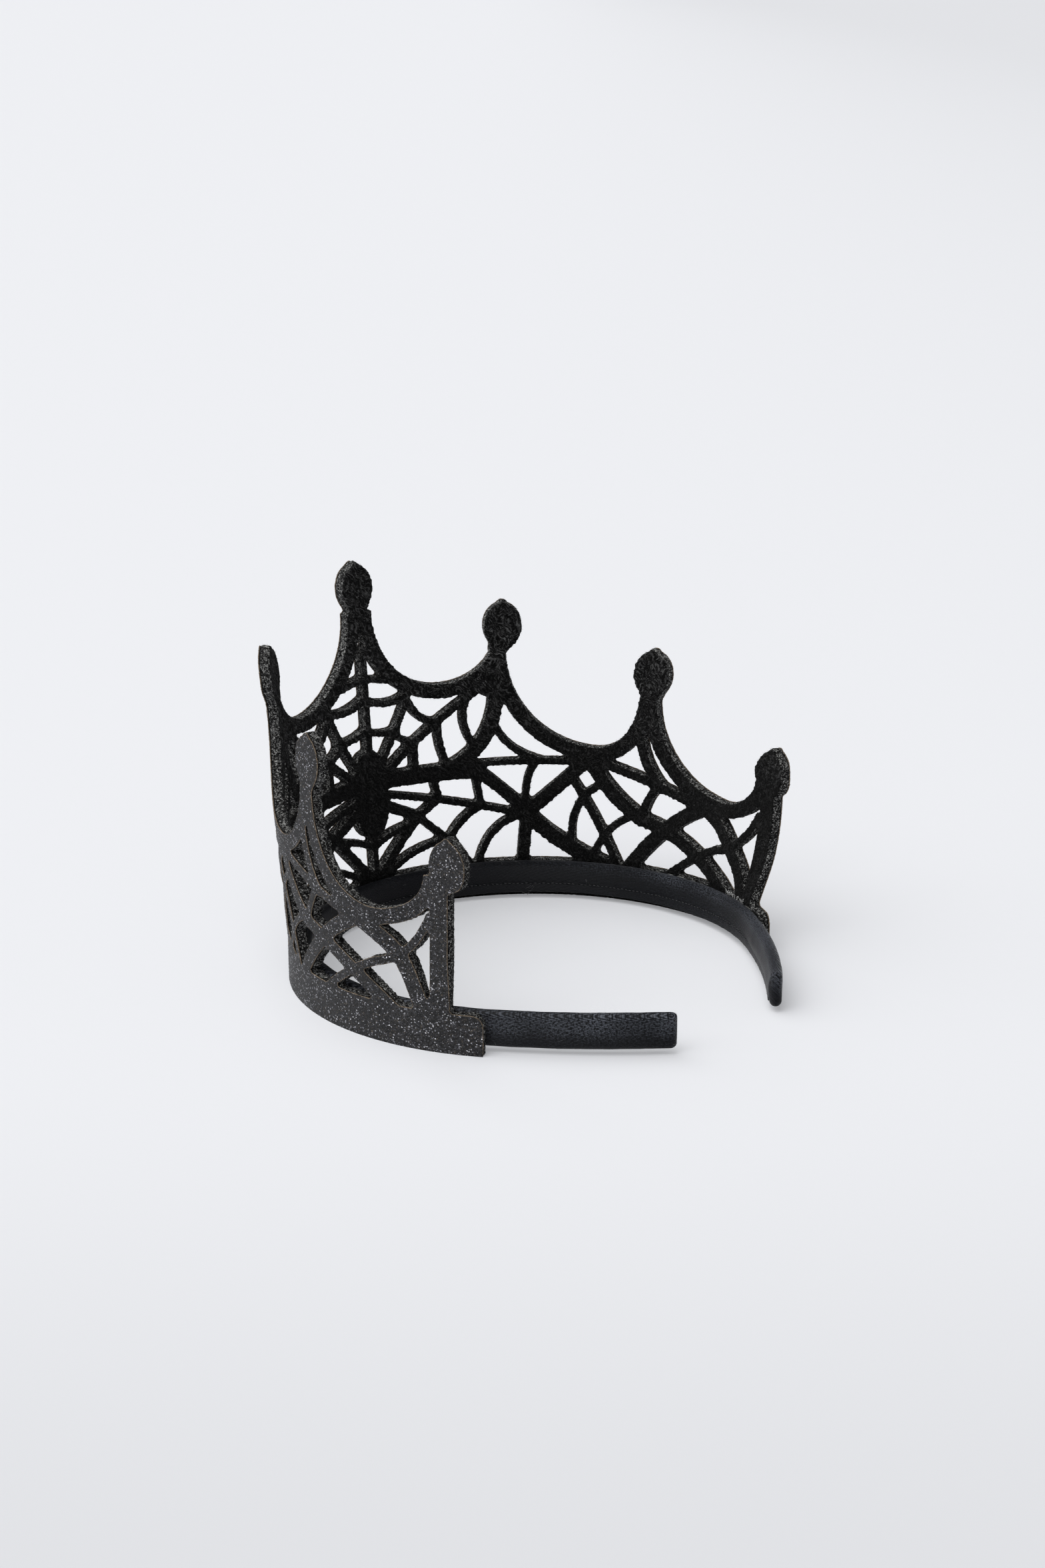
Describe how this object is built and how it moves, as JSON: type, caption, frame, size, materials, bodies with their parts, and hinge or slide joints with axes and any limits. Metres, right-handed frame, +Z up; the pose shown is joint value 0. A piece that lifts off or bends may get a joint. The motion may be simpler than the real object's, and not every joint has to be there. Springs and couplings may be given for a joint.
{
  "type": "costume crown on a headband",
  "caption": "Costume crown cut from thick glitter felt as a spider's web with seven spade finials, glued round an open satin headband that stands on its lower edge.",
  "frame": {"origin": "middle of the part's outline on the surface it stands on", "axes": "+Z up through the finials, -Y out of the front with the spider, +Y out of the open end of the headband"},
  "size_m": [0.1414, 0.148, 0.1052],
  "materials": {
    "glitter_felt": "thick black felt, napped inside, with a charcoal glitter face outside",
    "satin": "black satin with a fine diagonal rib and a soft sheen",
    "satin_hem": "the same black satin, folded and stitched"
  },
  "bodies": {
    "root": {"felt_crown": "glitter_felt", "headband": "satin", "band_hem": "satin_hem"}
  },
  "joints": []
}
